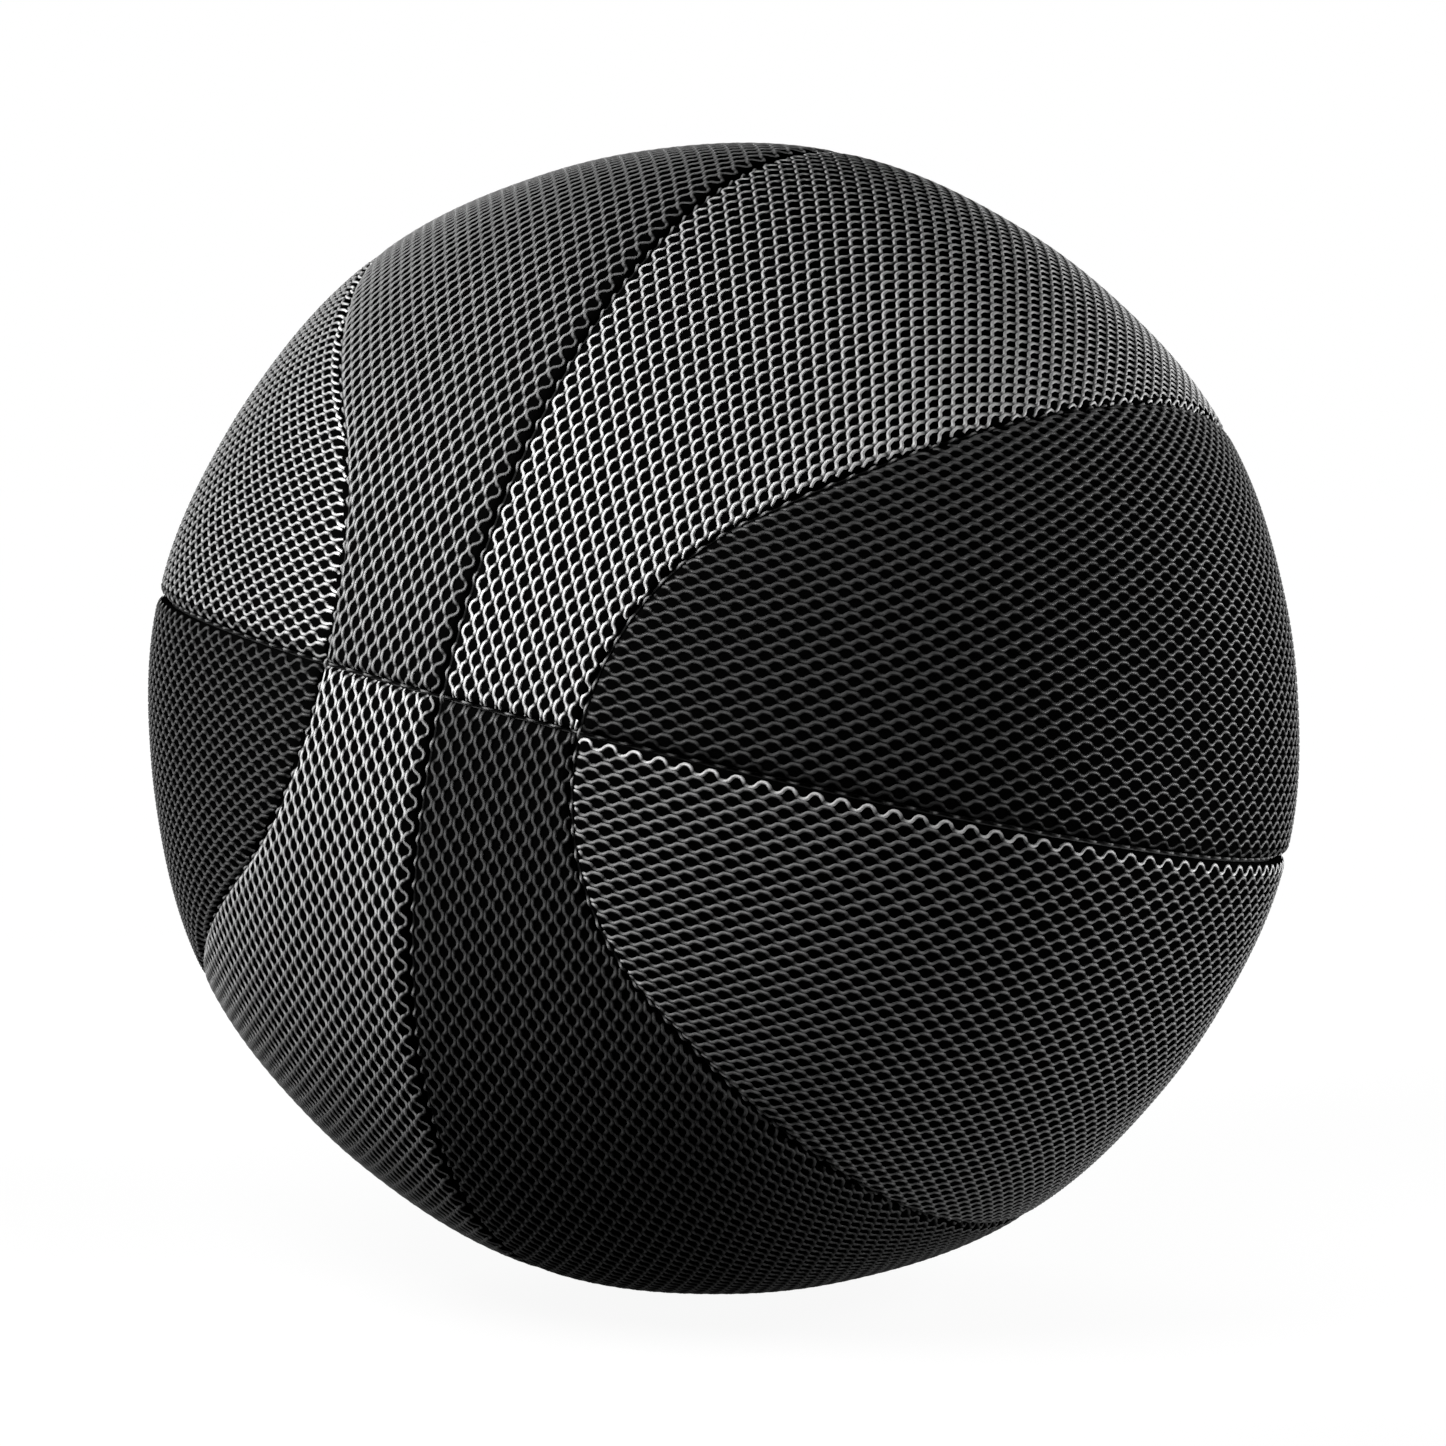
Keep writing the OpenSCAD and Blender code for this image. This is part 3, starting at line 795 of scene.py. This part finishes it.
def makeSewingTree():
    # the thread lies deep in its seam and comes up once in each step
    tree, given, out = newTree("seamSewing", [
        ("Seam", "NodeSocketGeometry", None),
        ("Ball Middle", "NodeSocketVector", (0, 0, 0)),
        ("Steps", "NodeSocketInt", 160),
        ("Points", "NodeSocketInt", 1600),
        ("Drop", "NodeSocketFloat", 0.001),
        ("Rise", "NodeSocketFloat", 0.0008),
        ("Radius", "NodeSocketFloat", 0.0003),
        ("Finish", "NodeSocketMaterial", None),
    ], [("Sewing", "NodeSocketGeometry")])
    seam = put(tree, "GeometryNodeMeshToCurve", inputs={0: given["Seam"]})
    path = put(tree, "GeometryNodeResampleCurve", {"mode": "COUNT"}, {
        "Curve": seam.outputs[0], "Count": given["Points"]})
    outward = vectorCalc(tree, "NORMALIZE", vectorCalc(tree, "SUBTRACT", here(tree), given["Ball Middle"]))
    along = put(tree, "GeometryNodeSplineParameter").outputs
    phase = calc(tree, "MULTIPLY", calc(tree, "MULTIPLY", along["Factor"], given["Steps"]), 2 * math.pi)
    up = calc(tree, "MAXIMUM", calc(tree, "COSINE", phase), 0.0)
    # painted shade: the thread darkens where it sinks into the seam
    hidden = eased(tree, up, *sewing["shaded"], 1.0, 0.0)
    stored = path.outputs[0]
    for label, value in (("knot", hidden), ("netUp", up),
                         ("netAlong", calc(tree, "MULTIPLY", along["Length"], 1 / mm))):
        stored = store(tree, stored, label, value)
    height = calc(tree, "MULTIPLY", recall(tree, "netUp"), given["Rise"])
    height = calc(tree, "SUBTRACT", height, given["Drop"])
    laid = put(tree, "GeometryNodeSetPosition", inputs={
        "Geometry": stored, "Offset": scaled(tree, outward, height)})
    facing = put(tree, "GeometryNodeSetCurveNormal", {"mode": "FREE"}, {
        "Curve": laid.outputs[0], "Normal": outward})
    ring = put(tree, "GeometryNodeCurvePrimitiveCircle", {"mode": "RADIUS"}, {
        "Resolution": sewing["sides"], "Radius": given["Radius"]})
    profile = store(tree, ring.outputs[0], "netAround",
                    put(tree, "GeometryNodeSplineParameter").outputs["Factor"])
    done = put(tree, "GeometryNodeCurveToMesh", inputs={
        "Curve": facing.outputs[0], "Profile Curve": profile}).outputs[0]
    strandUv = joined(tree, recall(tree, "netAlong"), recall(tree, "netAround"))
    done = store(tree, done, "strand", strandUv, "FLOAT2", "CORNER")
    return closeTree(tree, done, given["Finish"], out)


def seamPoints(kind):
    # closed line of a seam on the ball's surface, in the ball's own frame
    if kind in ("meridian", "equator"):
        turn = np.linspace(0, 2 * math.pi, sewing["ringPoints"] + 1)[:-1]
        ring = np.stack([np.zeros_like(turn), np.cos(turn), np.sin(turn)], -1)
        return ring if kind == "meridian" else ring[:, [2, 1, 0]]
    turn = np.linspace(0, math.pi, sewing["earPoints"] + 1)
    along = math.pi / 2 - (math.pi / 2 - noseTip) * np.cos(turn)
    upperHalf = onEar(along, earReach(along))
    lowerHalf = (upperHalf * np.array([1, 1, -1]))[::-1][1:-1]
    ring = np.concatenate([upperHalf, lowerHalf])
    return ring * np.array([1 if kind == "ear_right" else -1, 1, 1])


sewingTree = makeSewingTree()
sewingMaterial = fibreMaterial("sewing_thread_twist", sewing["look"])
for kind in ("meridian", "equator", "ear_right", "ear_left"):
    ring = seamPoints(kind) * (ballRadius + cover["seamRise"]) @ np.array(turned).T + np.array(ballMiddle)
    path = bpy.data.meshes.new("seam_" + kind)
    path.from_pydata(ring.tolist(), [(i, (i + 1) % len(ring)) for i in range(len(ring))], [])
    seamLine = link(bpy.data.objects.new("seam_" + kind, path))
    steps = round(np.linalg.norm(ring - np.roll(ring, 1, 0), axis=1).sum() / sewing["step"])
    drop = sewing["equatorDepth"] if kind == "equator" else sewing["depth"]
    sewn = grow(seamLine, sewingTree, {
        "Ball Middle": ballMiddle,
        "Steps": steps,
        "Points": steps * sewing["pointsPerStep"],
        "Drop": drop + cover["seamRise"],
        "Rise": sewing["rise"],
        "Radius": sewing["radius"],
        "Finish": sewingMaterial,
    }, "sewing_" + kind)
    bpy.data.objects.remove(seamLine)
    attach(sewn, "root")
    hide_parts("thread_" + kind)
    print("sewing", kind, len(sewn.data.polygons), "faces")

# Inside the cover and around the valve: the CAD nodes, with their finishes
rubberLooks = {
    "carcass": {"tone": grey(0.016), "dust": grey(0.05), "grain": 700, "gloss": 0.3},
    "bladder": {"tone": grey(0.02), "dust": grey(0.09, 0.05), "grain": 500, "gloss": 0.45},
    "valve_body": {"tone": grey(0.018), "dust": grey(0.06), "grain": 1600, "gloss": 0.4},
    "valve_plug": {"tone": (0.16, 0.07, 0.035, 1), "dust": (0.26, 0.15, 0.09, 1), "grain": 1800,
                   "gloss": 0.35},
    "valve_eyelet": {"tone": grey(0.022), "dust": grey(0.07), "grain": 1500, "gloss": 0.5},
}
windingLook = {
    "light": grey(0.72, 0.04),
    "dark": grey(0.5, 0.06),
    "turns": 620,
    "directions": ((0.3, 0.2, 0.1), (1.2, 0.9, 0.4), (0.6, 2.1, 1.3)),
    "wobble": 1.2,
    "sheen": 0.2,
    "rough": 0.85,
    "roughSpread": -0.2,
    "bumpDepth": 0.2 * mm,
    "bumpStrength": 0.8,
}


def windingMaterial(name):
    # threads laid round the bladder in three directions, one over another
    material, tree, shader = startMaterial(name, {"Sheen Weight": windingLook["sheen"]})
    where = put(tree, "ShaderNodeTexCoord").outputs["Object"]
    height = 0.0
    for turn in windingLook["directions"]:
        laid = put(tree, "ShaderNodeMapping", inputs={"Vector": where, "Rotation": turn})
        bands = put(tree, "ShaderNodeTexWave", {"bands_direction": "X"}, {
            "Vector": laid.outputs[0], "Scale": windingLook["turns"], "Distortion": windingLook["wobble"],
            "Detail": 2})
        height = calc(tree, "MAXIMUM", height, bands.outputs["Fac"])
    weaveInto(tree, shader, height, windingLook["dark"], windingLook["light"], windingLook)
    return material


def dress(node, material):
    nodes[node].data.materials.clear()
    nodes[node].data.materials.append(material)


for node, look in rubberLooks.items():
    dress(node, rubberMaterial(node + "_rubber", look))
dress("winding", windingMaterial("winding_yarn_laid"))
print("inner layers and valve dressed")

# Camera where the photograph was taken from, almost level with the ball's middle
camera = {
    "azimuth": math.radians(26.354),
    "elevation": math.radians(4.205),
    "roll": math.radians(-0.348),
    "distance": 8 * ballRadius,
    "lens": 114.0,
    "sensor": 36.0,
    "imageSize": 1446,
    "ballAt": (724.0, 719.6),  # pixels of the ball's middle in the image
}


def placeCamera():
    flat = math.cos(camera["elevation"])
    back = Vector((math.sin(camera["azimuth"]) * flat, -math.cos(camera["azimuth"]) * flat,
                   math.sin(camera["elevation"])))
    data = bpy.data.cameras.new("camera")
    data.lens = camera["lens"]
    data.sensor_width = camera["sensor"]
    middle = camera["imageSize"] / 2
    data.shift_x = -(camera["ballAt"][0] - middle) / camera["imageSize"]
    data.shift_y = (camera["ballAt"][1] - middle) / camera["imageSize"]
    data.clip_start = 0.05
    data.clip_end = 50
    obj = link(bpy.data.objects.new("camera", data))
    facing = (-back).to_track_quat("-Z", "Y").to_matrix() @ Matrix.Rotation(camera["roll"], 3, "Z")
    obj.matrix_world = Matrix.Translation(ballMiddle + back * camera["distance"]) @ facing.to_4x4()
    bpy.context.scene.camera = obj
    return facing


cameraFacing = placeCamera()

# Studio light in a white room: a lamp at the upper left, and fainter ones at the right, low at the left
# and behind
studio = {
    "lamps": {  # direction in the camera's right, up and back; distance and size in metres; watts
        "key": {"towards": (-0.52, 0.37, 0.77), "distance": 0.285, "size": 0.13, "power": 0.88},
        "rim": {"towards": (0.97, 0.1, -0.1), "distance": 0.285, "size": 0.1, "power": 0.28},
        "near": {"towards": (0.84, -0.04, 0.54), "distance": 0.21, "size": 0.05, "power": 0.055},
        "side": {"towards": (0.93, -0.16, 0.3), "distance": 0.5, "size": 0.15, "power": 0.95},
        "low": {"towards": (-0.90, -0.34, 0.04), "distance": 0.3, "size": 0.06, "power": 0.09},
        "back": {"towards": (-0.15, 0.3, -1.0), "distance": 0.6, "size": 0.3, "power": 2.2},
    },
    "ambient": 0.015,
    "floorSize": 12.0,
    "floorColour": 0.1,
    "nearFloor": 0.93,  # white of the floor by itself, around the ball
    "nearReach": (0.1, 0.75),
    "glossShadow": 0.1,  # painted shadow: how white the floor under the ball looks in the ball's gloss
    "shadowReach": (0.05, 0.5),
}


def aimLamp(name, lamp):
    data = bpy.data.lights.new(name, "AREA")
    data.shape = "DISK"
    data.size = lamp["size"]
    data.energy = lamp["power"]
    towards = (cameraFacing @ Vector(lamp["towards"])).normalized()
    obj = link(bpy.data.objects.new(name, data))
    turn = (-towards).to_track_quat("-Z", "Y").to_matrix().to_4x4()
    obj.matrix_world = Matrix.Translation(ballMiddle + towards * lamp["distance"]) @ turn


for name, lamp in studio["lamps"].items():
    aimLamp(name, lamp)


def seenDirectly(tree):
    # 1 for what the camera sees, straight or in gloss or glass
    path = put(tree, "ShaderNodeLightPath")
    seen = calc(tree, "MAXIMUM", path.outputs["Is Camera Ray"], path.outputs["Is Glossy Ray"])
    return calc(tree, "MAXIMUM", seen, path.outputs["Is Transmission Ray"])


def whiteRoom():
    world = bpy.data.worlds.new("room")
    world.use_nodes = True
    tree = world.node_tree
    tree.nodes.clear()
    dim, glow = (put(tree, "ShaderNodeBackground", inputs={"Color": grey(1), "Strength": strength}).outputs[0]
                 for strength in (studio["ambient"], 1.0))
    mix = put(tree, "ShaderNodeMixShader", inputs={0: seenDirectly(tree), 1: dim, 2: glow})
    end = put(tree, "ShaderNodeOutputWorld", inputs={0: mix.outputs[0]})
    end.is_active_output = True
    bpy.context.scene.world = world


def paleFloor():
    half = studio["floorSize"] / 2
    mesh = bpy.data.meshes.new("floor")
    corners = [(-half, -half, 0), (half, -half, 0), (half, half, 0), (-half, half, 0)]
    mesh.from_pydata(corners, [], [(0, 1, 2, 3)])
    floor = link(bpy.data.objects.new("floor", mesh))
    material = bpy.data.materials.new("floor_white")
    material.use_nodes = True
    tree = material.node_tree
    tree.nodes.clear()
    lit = put(tree, "ShaderNodeBsdfDiffuse", inputs={"Color": grey(studio["floorColour"])}).outputs[0]
    away = vectorCalc(tree, "LENGTH", put(tree, "ShaderNodeTexCoord").outputs["Object"])
    near = eased(tree, away, *studio["nearReach"], studio["nearFloor"], 1.0)
    # painted shadow under the ball, seen only in gloss
    under = eased(tree, away, *studio["shadowReach"], studio["glossShadow"], 1.0)
    inGloss = put(tree, "ShaderNodeLightPath").outputs["Is Glossy Ray"]
    strength = put(tree, "ShaderNodeMix", inputs={0: inGloss, 2: near, 3: under}).outputs[0]
    glow = put(tree, "ShaderNodeEmission", inputs={"Color": grey(1), "Strength": strength}).outputs[0]
    bright = put(tree, "ShaderNodeAddShader", inputs={0: lit, 1: glow}).outputs[0]
    mix = put(tree, "ShaderNodeMixShader", inputs={0: seenDirectly(tree), 1: lit, 2: bright})
    put(tree, "ShaderNodeOutputMaterial", inputs={0: mix.outputs[0]})
    mesh.materials.append(material)


whiteRoom()
paleFloor()
bpy.context.scene.view_settings.view_transform = "Standard"
print("camera, lamps and room set")
